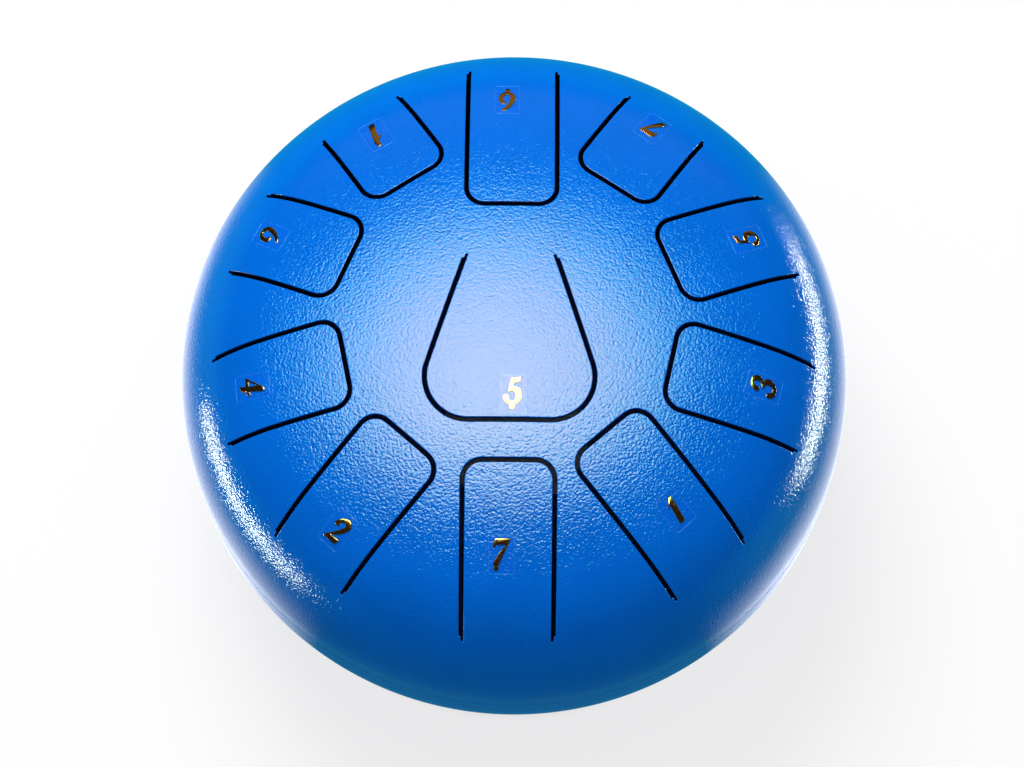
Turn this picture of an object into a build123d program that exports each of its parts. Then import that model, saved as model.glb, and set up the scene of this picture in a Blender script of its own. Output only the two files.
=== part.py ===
from build123d import *

import math
import os
from collections import namedtuple

# Steel tongue drum. Millimetres, +Z up, the feet stand on Z = 0, the player sits on the -Y side.

# Pressed shells, both made in the same tool
DRUM_DIAMETER = 254.0
SHELL_DEPTH = 76.0
WALL_HEIGHT = 9.0
SHOULDER_RADIUS = 53.0
SHEET = 1.8
FLOOR_GAP = 6.0

# Slits that free the tongues
KERF = 1.7
PATTERN_X = -1.5
RING_HALF_WIDTH = 16.85
RING_CORNER = 7.0
CENTRE_ROOT_HALF = 16.6
CENTRE_TIP_HALF = 37.4
CENTRE_CORNER = 16.4
SLIT_PAST_ROOT = 1.0
ROOT_GAP = 0.2

# Labels: a clear film with a raised digit on it
FILM_WIDTH = 9.6
FILM_LENGTH = 14.5
FILM_CORNER = 0.8
FILM_THICKNESS = 0.1
DIGIT_THICKNESS = 0.3
DOT_RADIUS = 0.95

# Seam weld: the bevelled rims filled flush outside, with a low bead inside
WELD_OUTER_HALF = 1.4
WELD_ROOT_HALF = 0.5
BEAD_HALF = 2.0
BEAD_DEPTH = 0.6

# Sound hole, feet and their fixings
SOUND_HOLE_RADIUS = 29.0
FOOT_RING = 60.0
FOOT_ANGLES = {"front_right": -31.0, "rear_right": 59.0, "rear_left": 149.0, "front_left": 239.0}
FOOT_TOP_RADIUS = 12.0
FOOT_BASE_RADIUS = 9.0
FOOT_BLANK = 20.0
FOOT_SEAT_DEPTH = 1.0
FOOT_BASE_EDGE = 0.8
FOOT_WEB = 5.0
SCREW_RADIUS = 2.0
SCREW_HOLE_RADIUS = 2.3
HEAD_RADIUS = 4.0
HEAD_HEIGHT = 2.6
HEAD_EDGE = 0.9
DRIVE_WIDTH = 1.0
DRIVE_LENGTH = 4.2
DRIVE_DEPTH = 1.4
WASHER_RADIUS = 4.5
WASHER_THICKNESS = 0.8
RECESS_CLEARANCE = 0.15
NUT_FLATS = 7.0
NUT_HEIGHT = 3.2
SEAT_GAP = 0.05
SCREW_PAST_NUT = 1.0

# How far a cutting block runs past what it cuts
OVERCUT = 5.0

# Reaches run outward from the middle of the pattern, directions turn from +X towards +Y.
# tip and end are where the middle of the slit turns and stops.
Tongue = namedtuple("Tongue", "name digit dot direction tip end reach shift turn")
RING_TONGUES = [
    Tongue("low_6", "6", "below", 90.0, 47.5, 109.8, 94.1, -2.2, 0.0),
    Tongue("7", "7", None, 57.0, 68.0, 107.3, 99.3, -1.4, -4.0),
    Tongue("5", "5", None, 23.5, 64.0, 110.6, 96.4, -0.8, 0.5),
    Tongue("3", "3", None, -12.0, 60.5, 112.7, 95.6, -1.3, -3.0),
    Tongue("1", "1", None, -49.0, 53.0, 113.4, 90.1, -2.2, 2.0),
    Tongue("low_7", "7", "below", -90.0, 51.0, 112.4, 84.3, 2.3, 0.0),
    Tongue("2", "2", None, -131.0, 56.5, 111.9, 96.8, -1.9, -1.0),
    Tongue("4", "4", None, -168.0, 62.0, 110.2, 97.2, 0.4, -7.0),
    Tongue("6", "6", None, 156.5, 65.5, 108.3, 98.6, 0.4, -5.5),
    Tongue("high_1", "1", "above", 123.0, 69.5, 106.5, 94.8, 0.2, -4.0),
]
CENTRE_TONGUE = Tongue("low_5", "5", "below", 90.0, -36.5, 26.8, -27.4, 1.3, 180.0)
TONGUES = RING_TONGUES + [CENTRE_TONGUE]

# Derived sizes
RADIUS = DRUM_DIAMETER / 2
SEAM_Z = FLOOR_GAP + SHELL_DEPTH
SHOULDER_R = RADIUS - SHOULDER_RADIUS
SHOULDER_Z = SEAM_Z + WALL_HEIGHT
SHOULDER_TO_TOP = SHELL_DEPTH - WALL_HEIGHT
CREST_RISE = SHOULDER_TO_TOP - SHOULDER_RADIUS
CROWN_RADIUS = (SHOULDER_R**2 + SHOULDER_TO_TOP**2 - SHOULDER_RADIUS**2) / (2 * CREST_RISE)
CROWN_Z = SEAM_Z + SHELL_DEPTH - CROWN_RADIUS
TURN_ANGLE = math.asin(SHOULDER_R / (CROWN_RADIUS - SHOULDER_RADIUS))
SEAM_PLANE = Plane.XY.offset(SEAM_Z)
FOOT_TILT = math.asin(FOOT_RING / CROWN_RADIUS)
NUT_FACE = -SHEET - SEAT_GAP - WASHER_THICKNESS


def skin_point(offset, angle):
    """Point of the skin moved out by offset, at this angle from the vertical, in the XZ plane."""
    if angle <= TURN_ANGLE:
        reach = CROWN_RADIUS + offset
        return Vector(reach * math.sin(angle), 0, CROWN_Z + reach * math.cos(angle))
    reach = SHOULDER_RADIUS + offset
    return Vector(SHOULDER_R + reach * math.sin(angle), 0, SHOULDER_Z + reach * math.cos(angle))


def skin_edges(offset):
    """Half section of the skin moved out by offset: crown arc, shoulder arc and straight wall."""
    turn = skin_point(offset, TURN_ANGLE)
    wall = skin_point(offset, math.pi / 2)
    crown = ThreePointArc(skin_point(offset, 0), skin_point(offset, TURN_ANGLE / 2), turn)
    shoulder = ThreePointArc(turn, skin_point(offset, (TURN_ANGLE + math.pi / 2) / 2), wall)
    return [crown, shoulder, Line(wall, Vector(wall.X, 0, SEAM_Z))]


def dome_layer(low, high):
    """Dome between two offsets from the skin, from the crown down to the seam."""
    inner = skin_edges(low)
    outer = skin_edges(high)
    crown_end = Line(inner[0] @ 0, outer[0] @ 0)
    seam_end = Line(inner[-1] @ 1, outer[-1] @ 1)
    return revolve(make_face(inner + outer + [crown_end, seam_end]), Axis.Z)


def dome_body():
    """Everything inside the skin of the dome."""
    outer = skin_edges(0)
    middle = Vector(0, 0, SEAM_Z)
    seam = Line(outer[-1] @ 1, middle)
    axis = Line(middle, outer[0] @ 0)
    return revolve(make_face(outer + [seam, axis]), Axis.Z)


def lower(shape):
    """The same shape on the turned-over pressing below the seam."""
    return mirror(shape, about=SEAM_PLANE)


def patch(*corners):
    """Flat face with straight sides."""
    return make_face(Polyline(*corners, close=True))


def prism(plan, direction):
    """Upright prism through the dome on a plan outline drawn with +Y outward."""
    block = extrude(plan, SHELL_DEPTH + OVERCUT, dir=(0, 0, 1))
    return Pos(PATTERN_X, 0, SEAM_Z) * Rot(0, 0, direction - 90) * block


def outline(tongue, grow, far):
    """Tongue outline grown about the middle of its slit, from the rounded tip out to the line far."""
    if tongue is CENTRE_TONGUE:
        root_half, tip_half, corner = CENTRE_ROOT_HALF, CENTRE_TIP_HALF, CENTRE_CORNER
    else:
        root_half, tip_half, corner = RING_HALF_WIDTH, RING_HALF_WIDTH, RING_CORNER
    lean = (root_half - tip_half) / (tongue.end - tongue.tip)
    near = tongue.tip - grow
    side = grow * math.hypot(1, lean)
    near_half = tip_half - lean * grow + side
    far_half = tip_half + lean * (far - tongue.tip) + side
    blank = patch((-far_half, far), (-near_half, near), (near_half, near), (far_half, far))
    return fillet(blank.vertices().sort_by(Axis.Y)[:2], corner + grow)


def slit_window(tongue):
    """Plan opening in the dome around a tongue: the slit and the tongue, less the root that stays."""
    root = outline(tongue, -KERF / 2, tongue.end) - outline(tongue, -KERF / 2, tongue.end - SLIT_PAST_ROOT)
    return outline(tongue, KERF / 2, tongue.end) - root


def tongue_blank(tongue):
    """Plan outline of the tongue itself, up to the parting line at its root."""
    return outline(tongue, -KERF / 2, tongue.end - SLIT_PAST_ROOT - ROOT_GAP)


def figure(start, *strokes):
    """Face whose outline runs on from start: a stroke of one point is straight, one of two points
    is an arc through the first of them."""
    edges = []
    here = start
    for *via, end in strokes:
        edges.append(ThreePointArc(here, *via, end) if via else Line(here, end))
        here = end
    if here != start:
        edges.append(Line(here, start))
    return make_face(edges)


# Digits, drawn in millimetres on the line Y = 0: bold italic figures whose thin strokes end in balls.
def digit_1():
    return figure(
        (-1.8, 0), [(0.7, 0)], [(2.3, 10.2)], [(0.9, 10.2)],
        [(-0.3, 8.7), (-1.5, 7.5)], [(-1.8, 6.7)], [(-0.25, 7.7)])


def digit_2():
    return figure(
        (-2.85, 7.1), [(-1.4, 9.5), (0.9, 10.7)], [(2.9, 9.9), (3.55, 7.8)], [(2.0, 4.9), (-1.3, 2.0)],
        [(2.6, 2.4)], [(2.9, 2.0)], [(2.2, 0)], [(-3.6, 0)], [(-3.5, 0.5)],
        [(-0.45, 4.3), (1.4, 7.5)], [(1.1, 8.5), (0.3, 8.7)], [(-0.6, 8.1), (-0.8, 7.1)],
        [(-1.75, 5.95), (-2.85, 7.1)])


def digit_3():
    return figure(
        (-2.5, 8.2), [(-1.3, 10.1), (0.6, 10.7)], [(2.8, 10.1), (3.4, 8.6)], [(2.9, 7.0), (1.8, 6.1)],
        [(3.0, 5.2), (3.4, 3.8)], [(2.3, 1.1), (-0.8, 0)], [(-2.6, 0.6), (-3.4, 2.1)],
        [(-2.4, 3.5), (-1.45, 2.4)], [(-1.1, 1.6), (-0.2, 1.4)], [(0.9, 2.2), (1.1, 3.6)],
        [(0.7, 4.9), (-0.2, 5.2)], [(-0.9, 5.2)], [(-0.7, 5.9)], [(0.3, 6.2)],
        [(1.2, 7.0), (1.4, 8.3)], [(1.1, 9.2), (0.3, 9.4)], [(-0.5, 8.8), (-0.65, 7.8)],
        [(-1.6, 6.9), (-2.5, 8.2)])


def digit_4():
    sail = patch(
        (-3.5, 2.5), (-3.5, 3.1), (0.8, 9.9), (1.7, 10.3), (2.5, 9.9),
        (1.2, 0.4), (0.8, 0), (-0.9, 0), (-0.4, 2.5))
    counter = patch((-2.3, 3.8), (-0.3, 3.8), (0.1, 7.6))
    bar_end = figure((1.3, 2.8), [(3.1, 2.9)], [(3.4, 4.7)], [(2.4, 4.1), (1.5, 3.9)])
    return (sail - counter) + bar_end


def digit_5():
    return figure(
        (-0.6, 9.9), [(2.8, 10.3)], [(2.2, 8.6)], [(0.2, 8.2)], [(-0.2, 6.5)],
        [(1.7, 6.4), (3.1, 4.3)], [(2.2, 1.3), (-0.3, 0)], [(-2.3, 0.7), (-3.45, 2.5)],
        [(-2.4, 3.8), (-1.5, 2.7)], [(-1.2, 1.6), (-0.2, 1.3)], [(0.8, 2.1), (1.0, 3.5)],
        [(0.4, 5.0), (-0.6, 5.2)], [(-1.7, 4.9)])


def digit_6():
    return figure(
        (1.0, 9.9), [(-2.0, 7.2), (-3.2, 3.7)], [(-2.3, 1.1), (-0.2, 0)], [(2.3, 1.4), (3.15, 4.0)],
        [(2.6, 5.7), (1.4, 6.2)], [(0.5, 5.8), (0.9, 5.2)], [(1.4, 3.5), (-0.1, 1.4)],
        [(-1.1, 2.4), (-1.2, 3.9)], [(-0.2, 6.9), (1.7, 9.1)], [(1.8, 9.8)])


def digit_7():
    return figure(
        (-2.2, 9.7), [(3.4, 9.7)], [(1.15, 4.5), (-0.9, 0.4)], [(-2.0, -0.4), (-3.1, 0.4)],
        [(-0.95, 4.3), (1.6, 7.5)], [(-1.6, 7.5)], [(-2.2, 7.1), (-2.45, 6.4)], [(-3.15, 6.6)],
        [(-2.9, 8.2), (-2.2, 9.7)])


DIGITS = {"1": digit_1, "2": digit_2, "3": digit_3, "4": digit_4, "5": digit_5, "6": digit_6, "7": digit_7}
# middle of the octave dot, for the digits that have one
DOTS = {"1": (0.95, 10.8), "5": (-0.4, -0.65), "6": (-0.2, -0.75), "7": (-2.0, -1.0)}
# line on which a digit stands, from the middle of its label, by where its dot is
BASELINES = {None: -5.1, "below": -3.9, "above": -5.7}


def digit_face(tongue):
    """Digit of a tongue with its octave dot, set out from the middle of the label."""
    face = DIGITS[tongue.digit]()
    if tongue.dot:
        face += Pos(*DOTS[tongue.digit]) * Circle(DOT_RADIUS)
    return Pos(0, BASELINES[tongue.dot]) * face


def label_frame(tongue):
    """Plane on the skin under a label, +Y to the top of its digit: ring digits have their tops inward."""
    outward = Vector(0, 1, 0).rotate(Axis.Z, tongue.direction - 90)
    from_pattern = Vector(tongue.shift, tongue.reach, 0).rotate(Axis.Z, tongue.direction - 90)
    middle = from_pattern + Vector(PATTERN_X, 0, 0)
    slope = math.asin(middle.length / CROWN_RADIUS)
    if slope > TURN_ANGLE:
        slope = math.asin((middle.length - SHOULDER_R) / SHOULDER_RADIUS)
    normal = middle.normalized() * math.sin(slope) + Vector(0, 0, math.cos(slope))
    seat = middle + Vector(0, 0, skin_point(0, slope).Z)
    return Plane(origin=seat, x_dir=normal.cross(outward), z_dir=normal)


def on_label(tongue, face):
    """Block through the skin on a face drawn upright about the middle of the label."""
    block = extrude(face, OVERCUT, dir=(0, 0, 1), both=True)
    return label_frame(tongue) * Rot(0, 0, tongue.turn) * block


def weld_ring():
    """Seam weld: a bevelled ring through the sheet and a bead on its inner side."""
    inside = RADIUS - SHEET
    ring = patch((RADIUS, -WELD_OUTER_HALF), (RADIUS, WELD_OUTER_HALF),
                 (inside, WELD_ROOT_HALF), (inside, -WELD_ROOT_HALF))
    crest = inside - BEAD_DEPTH
    bead = patch((inside, -BEAD_HALF), (inside, BEAD_HALF), (crest, WELD_ROOT_HALF), (crest, -WELD_ROOT_HALF))
    return Pos(0, 0, SEAM_Z) * revolve(Plane.XZ * (ring + bead), Axis.Z)


def foot_frame():
    """Plane on the bottom shell where a foot sits, its normal pointing out of the shell."""
    above = skin_point(0, FOOT_TILT)
    seat = Vector(above.X, 0, 2 * SEAM_Z - above.Z)
    return Plane(origin=seat, x_dir=(0, 1, 0), z_dir=(math.sin(FOOT_TILT), 0, -math.cos(FOOT_TILT)))


def rod(radius, start, stop):
    """Round rod on the local Z axis."""
    return Pos(0, 0, start) * Cylinder(radius, stop - start, align=(Align.CENTER, Align.CENTER, Align.MIN))


def washer(start):
    stop = start + WASHER_THICKNESS
    return rod(WASHER_RADIUS, start, stop) - rod(SCREW_HOLE_RADIUS, start, stop)


def foot(skin):
    """Conical rubber foot, seated on the skin, cut level at the floor, with a recess for the screw head."""
    frame = foot_frame()
    blank = frame * (Pos(0, 0, -FOOT_SEAT_DEPTH) * Cone(
        FOOT_TOP_RADIUS, FOOT_BASE_RADIUS, FOOT_BLANK, align=(Align.CENTER, Align.CENTER, Align.MIN)))
    body = split(blank, bisect_by=Plane.XY, keep=Keep.TOP) - skin
    base = body.faces().sort_by(Axis.Z)[0]
    body = fillet(base.edges(), FOOT_BASE_EDGE)
    body -= frame * rod(WASHER_RADIUS + RECESS_CLEARANCE, FOOT_WEB, FOOT_BLANK)
    return body - frame * rod(SCREW_HOLE_RADIUS, -FOOT_SEAT_DEPTH, FOOT_WEB)


def foot_screw():
    """Pan-head screw with a cross drive, its head down in the foot."""
    seat = FOOT_WEB + WASHER_THICKNESS
    head = rod(HEAD_RADIUS, seat, seat + HEAD_HEIGHT)
    head = fillet(head.edges().sort_by(Axis.Z)[-1], HEAD_EDGE)
    slot = Box(DRIVE_LENGTH, DRIVE_WIDTH, DRIVE_DEPTH, align=(Align.CENTER, Align.CENTER, Align.MAX))
    head -= Pos(0, 0, seat + HEAD_HEIGHT) * (slot + Rot(0, 0, 90) * slot)
    return head + rod(SCREW_RADIUS, NUT_FACE - NUT_HEIGHT - SCREW_PAST_NUT, seat)


def foot_nut():
    """Hexagon nut on the inner washer."""
    block = extrude(RegularPolygon(NUT_FLATS / math.sqrt(3), 6), -NUT_HEIGHT)
    return Pos(0, 0, NUT_FACE) * (block - rod(SCREW_RADIUS, -NUT_HEIGHT, 0))


def at_feet(shape):
    """One copy of a fixing at every foot."""
    seated = foot_frame() * shape
    return Compound([Rot(0, 0, angle) * seated for angle in FOOT_ANGLES.values()])


def save(shape, name):
    export_step(shape, f"parts/{name}.step")


os.makedirs("parts", exist_ok=True)

sheet = dome_layer(-SHEET, 0)
film_layer = dome_layer(0, FILM_THICKNESS)
digit_layer = dome_layer(FILM_THICKNESS, FILM_THICKNESS + DIGIT_THICKNESS)
weld = weld_ring()
save(weld, "seam_weld")

top_shell = sheet - weld
for tongue in TONGUES:
    top_shell -= prism(slit_window(tongue), tongue.direction)
    save(sheet & prism(tongue_blank(tongue), tongue.direction), f"tongue_{tongue.name}")
    film = RectangleRounded(FILM_WIDTH, FILM_LENGTH, FILM_CORNER)
    save(film_layer & on_label(tongue, film), f"film_{tongue.name}")
    save(digit_layer & on_label(tongue, digit_face(tongue)), f"digit_{tongue.name}")
save(top_shell, "top_shell")

bottom_shell = lower(sheet) - weld - rod(SOUND_HOLE_RADIUS, 0, SEAM_Z)
bottom_shell -= at_feet(rod(SCREW_HOLE_RADIUS, -SHEET - OVERCUT, FOOT_WEB))
save(bottom_shell, "bottom_shell")

rubber_foot = foot(lower(dome_body()))
for place, angle in FOOT_ANGLES.items():
    save(Rot(0, 0, angle) * rubber_foot, f"foot_{place}")
save(at_feet(washer(FOOT_WEB)), "foot_washers")
save(at_feet(foot_screw()), "foot_screws")
save(at_feet(washer(NUT_FACE)), "nut_washers")
save(at_feet(foot_nut()), "foot_nuts")
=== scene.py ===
import math

import bmesh
import bpy
import numpy as np
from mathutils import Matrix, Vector
from mathutils.geometry import delaunay_2d_cdt


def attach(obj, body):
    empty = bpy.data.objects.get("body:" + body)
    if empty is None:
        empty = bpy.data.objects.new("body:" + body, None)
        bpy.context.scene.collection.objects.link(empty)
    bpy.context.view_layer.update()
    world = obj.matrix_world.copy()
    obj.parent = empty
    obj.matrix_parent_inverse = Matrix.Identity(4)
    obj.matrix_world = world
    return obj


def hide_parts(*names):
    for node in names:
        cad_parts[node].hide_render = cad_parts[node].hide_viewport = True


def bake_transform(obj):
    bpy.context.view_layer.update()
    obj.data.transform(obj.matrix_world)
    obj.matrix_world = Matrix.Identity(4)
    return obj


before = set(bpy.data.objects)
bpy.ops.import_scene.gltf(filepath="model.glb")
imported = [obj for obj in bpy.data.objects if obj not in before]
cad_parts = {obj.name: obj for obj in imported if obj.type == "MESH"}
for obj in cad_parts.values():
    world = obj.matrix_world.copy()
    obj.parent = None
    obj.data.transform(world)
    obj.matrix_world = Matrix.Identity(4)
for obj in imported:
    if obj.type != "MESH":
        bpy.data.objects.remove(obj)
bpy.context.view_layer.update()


# Camera
# A long lens looks down on the dome from the player's side, high above the front edge.
# The focal length, counted in pixels of the photograph, is turned into that of a 36 mm sensor.
FOCAL_PIXELS, WIDTH_PIXELS, SENSOR = 3753.7, 1024, 36.0
TARGET = Vector((-0.00075, -0.00954, 0.112))
ELEVATION = math.radians(72.82)
AZIMUTH = math.radians(0.59)
DISTANCE = 1.4138
lens = bpy.data.cameras.new("camera")
lens.sensor_width = SENSOR
lens.lens = FOCAL_PIXELS * SENSOR / WIDTH_PIXELS
camera = bpy.data.objects.new("camera", lens)
bpy.context.collection.objects.link(camera)
back = Vector((math.sin(AZIMUTH) * math.cos(ELEVATION), -math.cos(AZIMUTH) * math.cos(ELEVATION),
               math.sin(ELEVATION)))
camera.location = TARGET + back * DISTANCE
camera.rotation_mode = "QUATERNION"
camera.rotation_quaternion = (-back).to_track_quat("-Z", "Y")
bpy.context.scene.camera = camera


# Top shell and its tongues
# A dome pressed from 1.8 mm steel sheet and powder coated in azure. Eleven slits, cut 1.7 mm wide by a beam,
# free the tongues, which stay one piece with the dome at their roots. The coat rounds every cut edge and
# drifts thinly through the slits onto the inside. The cut walls and the foot of each rounded edge carry
# painted
# shade: a dark navy that stands for the shadow down in the slits.
RADIUS, DEPTH, WALL, SHOULDER, SHEET, FLOOR_GAP = 0.127, 0.076, 0.009, 0.053, 0.0018, 0.006
SEAM_Z = FLOOR_GAP + DEPTH
SHOULDER_R = RADIUS - SHOULDER
CROWN = (SHOULDER_R**2 + (DEPTH - WALL) ** 2 - SHOULDER**2) / (2 * (DEPTH - WALL - SHOULDER))
CROWN_Z = SEAM_Z + DEPTH - CROWN
TURN = math.asin(SHOULDER_R / (CROWN - SHOULDER))


def skin_height(xy, inset):
    """Height of the dome's surface, set in from the outside, over plan points."""
    r = np.hypot(xy[:, 0], xy[:, 1])
    crown = CROWN_Z + np.sqrt((CROWN - inset) ** 2 - r**2)
    shoulder = SEAM_Z + WALL + np.sqrt(np.maximum((SHOULDER - inset) ** 2 - (r - SHOULDER_R) ** 2, 0))
    return np.where(r <= (CROWN - inset) * math.sin(TURN), crown, shoulder)


def skin_normal(xy, inset):
    """Outward normal of that surface."""
    r = np.maximum(np.hypot(xy[:, 0], xy[:, 1]), 1e-9)
    crown = r / (CROWN - inset)
    lean = np.where(r <= (CROWN - inset) * math.sin(TURN), crown, (r - SHOULDER_R) / (SHOULDER - inset))
    lean = np.clip(lean, 0, 1)
    return np.column_stack([xy * (lean / r)[:, None], np.sqrt(1 - lean**2)])


KERF, CUT_STEP, ARC_FINENESS = 0.0017, 0.0015, 1.6
NICK, NICK_SIDE, END_SOFT = 0.0015, 0.1, 0.00035
PATTERN_X, PAST_ROOT = -0.0015, 0.001
RING_HALF, RING_CORNER = 0.01685, 0.007
# direction of each ring tongue, then where its slit turns and where it ends, out from the pattern's middle
RING = {
    "low_6": (90.0, 0.0475, 0.1098), "7": (57.0, 0.068, 0.1073), "5": (23.5, 0.064, 0.1106),
    "3": (-12.0, 0.0605, 0.1127), "1": (-49.0, 0.053, 0.1134), "low_7": (-90.0, 0.051, 0.1124),
    "2": (-131.0, 0.0565, 0.1119), "4": (-168.0, 0.062, 0.1102), "6": (156.5, 0.0655, 0.1083),
    "high_1": (123.0, 0.0695, 0.1065),
}
SLITS = {name: (*spot, RING_HALF, RING_HALF, RING_CORNER) for name, spot in RING.items()}
SLITS["low_5"] = (90.0, -0.0365, 0.0268, 0.0166, 0.0374, 0.0164)


def rounded(corners):
    """Closed outline through corners (x, y, radius), with points about a step apart along it."""
    points = []
    count = len(corners)
    for i in range(count):
        before, here, after = (np.array(corners[(i + k) % count][:2]) for k in (-1, 0, 1))
        radius = corners[i][2]
        to_before = (before - here) / np.linalg.norm(before - here)
        to_after = (after - here) / np.linalg.norm(after - here)
        if radius:
            half = math.acos(np.clip(to_before @ to_after, -1, 1)) / 2
            reach = radius / math.tan(half)
            between = to_before + to_after
            middle = here + between / np.linalg.norm(between) * radius / math.sin(half)
            a = here + to_before * reach - middle
            sweep = math.pi - 2 * half
            turn = math.copysign(1, to_before[0] * to_after[1] - to_before[1] * to_after[0])
            steps = max(3, round(sweep * radius / CUT_STEP * ARC_FINENESS))
            for k in range(steps + 1):
                t = -turn * sweep * k / steps
                c, s = math.cos(t), math.sin(t)
                points.append(middle + np.array([a[0] * c - a[1] * s, a[0] * s + a[1] * c]))
        else:
            points.append(here)
    outline = []
    for a, b in zip(points, points[1:] + points[:1]):
        steps = max(1, round(np.linalg.norm(b - a) / CUT_STEP))
        outline += [a + (b - a) * k / steps for k in range(steps)]
    return np.array(outline)


def slit_outline(tip, end, root_half, tip_half, corner):
    """Edge of one slit's void in the tongue's own plan, +Y outward: along the dome, then along the tongue.
    At each end the beam ran on a little way along the tongue's side only, which leaves a narrow nick."""
    lean = (root_half - tip_half) / (end - tip)
    side = KERF / 2 * math.hypot(1, lean)
    root, nick = end - PAST_ROOT, end - NICK

    def half(y, grow):
        return tip_half + lean * (y - tip) + grow * side

    inner, outer = tip + KERF / 2, tip - KERF / 2
    right = [(half(outer, 1), outer, corner + KERF / 2),
             (half(nick, 1), nick, END_SOFT), (half(nick, NICK_SIDE), nick, END_SOFT),
             (half(end, NICK_SIDE), end, END_SOFT), (half(end, -1), end, END_SOFT),
             (half(root, -1), root, 0), (half(inner, -1), inner, corner - KERF / 2)]
    left = [(-x, y, r) for x, y, r in right]
    return rounded(left[:1] + right + left[:0:-1])


def inside(points, loop):
    """Which plan points lie inside a closed outline."""
    hit = np.zeros(len(points), bool)
    near = np.all((points >= loop.min(0)) & (points <= loop.max(0)), axis=1)
    p = points[near]
    odd = np.zeros(len(p), bool)
    for a, b in zip(loop, np.roll(loop, -1, axis=0)):
        if a[1] != b[1]:
            crosses = (a[1] > p[:, 1]) != (b[1] > p[:, 1])
            odd ^= crosses & (p[:, 0] < (b[0] - a[0]) * (p[:, 1] - a[1]) / (b[1] - a[1]) + a[0])
    hit[near] = odd
    return hit


# the last is the share of painted shade at the foot of a cut's rounded edge, the dark of the slit painted in
EDGE_ROUND, EDGE_ROWS, WALL_TOP_SHADE = 0.0003, 3, 0.7
PLAN_RIM, RIM_STEPS, GRID, MITRE_LIMIT, MILLIMETRES = 0.118, 360, 0.0035, 0.6, 1000
# in steps of the grid: from row to row, clear of the rim, and clear of a cut
ROW_PITCH, RIM_CLEAR, CUT_CLEAR = 0.866, 0.6, 0.55
slits = {}
plan, constraints = [], []
for name, (direction, *shape) in SLITS.items():
    loop = slit_outline(*shape)
    first = len(plan)
    turn = math.radians(direction - 90)
    spin = np.array([[math.cos(turn), -math.sin(turn)], [math.sin(turn), math.cos(turn)]])
    root_y = shape[1] - PAST_ROOT
    roots = [i for i in range(len(loop)) if abs(loop[i, 1] - root_y) < 1e-9]
    to_metal = np.roll(loop, -1, axis=0) - loop
    to_metal = np.column_stack([to_metal[:, 1], -to_metal[:, 0]])
    to_metal /= np.linalg.norm(to_metal, axis=1)[:, None]
    to_metal = to_metal + np.roll(to_metal, 1, axis=0)
    to_metal /= np.maximum((to_metal**2).sum(1) / 2, MITRE_LIMIT)[:, None]
    void, away = loop @ spin.T + [PATTERN_X, 0], to_metal @ spin.T
    rim = void + away * EDGE_ROUND
    plan += list(rim)
    count = len(rim)
    constraints += [(first + i, first + (i + 1) % count) for i in range(count)]
    a, b = rim[roots[0]], rim[roots[1]]
    steps = round(np.linalg.norm(b - a) / (CUT_STEP * 2))
    chain = [first + roots[0], *range(len(plan), len(plan) + steps - 1), first + roots[1]]
    plan += [a + (b - a) * k / steps for k in range(1, steps)]
    constraints += list(zip(chain, chain[1:]))
    slits[name] = {"void": void, "away": away, "rim": rim, "first": first, "roots": roots, "chain": chain,
                   "out": spin @ [0, 1]}
rim_first = len(plan)
rim_turns = np.linspace(0, 2 * math.pi, RIM_STEPS, endpoint=False)
plan += [np.array([math.cos(t), math.sin(t)]) * PLAN_RIM for t in rim_turns]
constraints += [(rim_first + i, rim_first + (i + 1) % RIM_STEPS) for i in range(RIM_STEPS)]
fixed = np.array(plan)
columns = np.arange(-PLAN_RIM, PLAN_RIM, GRID)
rows = np.arange(-PLAN_RIM, PLAN_RIM, GRID * ROW_PITCH)
spread = np.array([(x + (k % 2) * GRID / 2, y) for k, y in enumerate(rows) for x in columns])
spread = spread[np.hypot(spread[:, 0], spread[:, 1]) < PLAN_RIM - GRID * RIM_CLEAR]
gap = np.array([np.min(np.hypot(*(fixed - p).T)) for p in spread])
spread = spread[gap > GRID * CUT_CLEAR]
plan = np.vstack([fixed, spread])
flat_plan = [Vector(p * MILLIMETRES) for p in plan]
_, _, cells, origins, _, _ = delaunay_2d_cdt(flat_plan, constraints, [], 0, 1e-5)
cells = np.array([[origins[v][0] for v in cell] for cell in cells])
middles = plan[cells].mean(1)
cell_piece = np.full(len(cells), "top_shell", object)
for name, slit in slits.items():
    start, stop = slit["roots"]
    cell_piece[inside(middles, np.vstack([slit["rim"][start:stop + 1], plan[slit["chain"][::-1]]]))] = name
    cell_piece[inside(middles, slit["rim"])] = "void"

inner_plan = plan.copy()
for slit in slits.values():
    inner_plan[slit["first"]:slit["first"] + len(slit["void"])] = slit["void"]
outer_skin = np.column_stack([plan, skin_height(plan, 0)])
outer_normal = skin_normal(plan, 0)
inner_skin = np.column_stack([inner_plan, skin_height(inner_plan, SHEET)])
inner_normal = -skin_normal(inner_plan, SHEET)


class SheetPiece:
    """Mesh of a cut piece of the dome, gathered face by face with the normal at every corner."""

    def __init__(self):
        self.index, self.points, self.depth = {}, [], []
        self.faces, self.normals, self.finish = [], [], []

    def vertex(self, key, point, depth):
        if key not in self.index:
            self.index[key] = len(self.points)
            self.points.append(point)
            self.depth.append(depth)
        return self.index[key]

    def face(self, corners, finish):
        self.faces.append([self.vertex(*corner[:3]) for corner in corners])
        self.normals += [corner[3] for corner in corners]
        self.finish.append(finish)

    def mesh(self, name, materials):
        made = bpy.data.meshes.new(name)
        made.from_pydata(self.points, [], self.faces, shade_flat=False)
        for material in materials:
            made.materials.append(material)
        made.polygons.foreach_set("material_index", self.finish)
        # the depth attribute runs from 0 on the outer skin to 1 inside: how much painted shade of the slits
        # a point takes
        made.attributes.new("depth", "FLOAT", "POINT").data.foreach_set("value", self.depth)
        made.normals_split_custom_set(self.normals)
        return made


def outer_corner(i):
    return ("outer", i), outer_skin[i], 0.0, outer_normal[i]


def inner_corner(i):
    return ("inner", i), inner_skin[i], 1.0, inner_normal[i]


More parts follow.
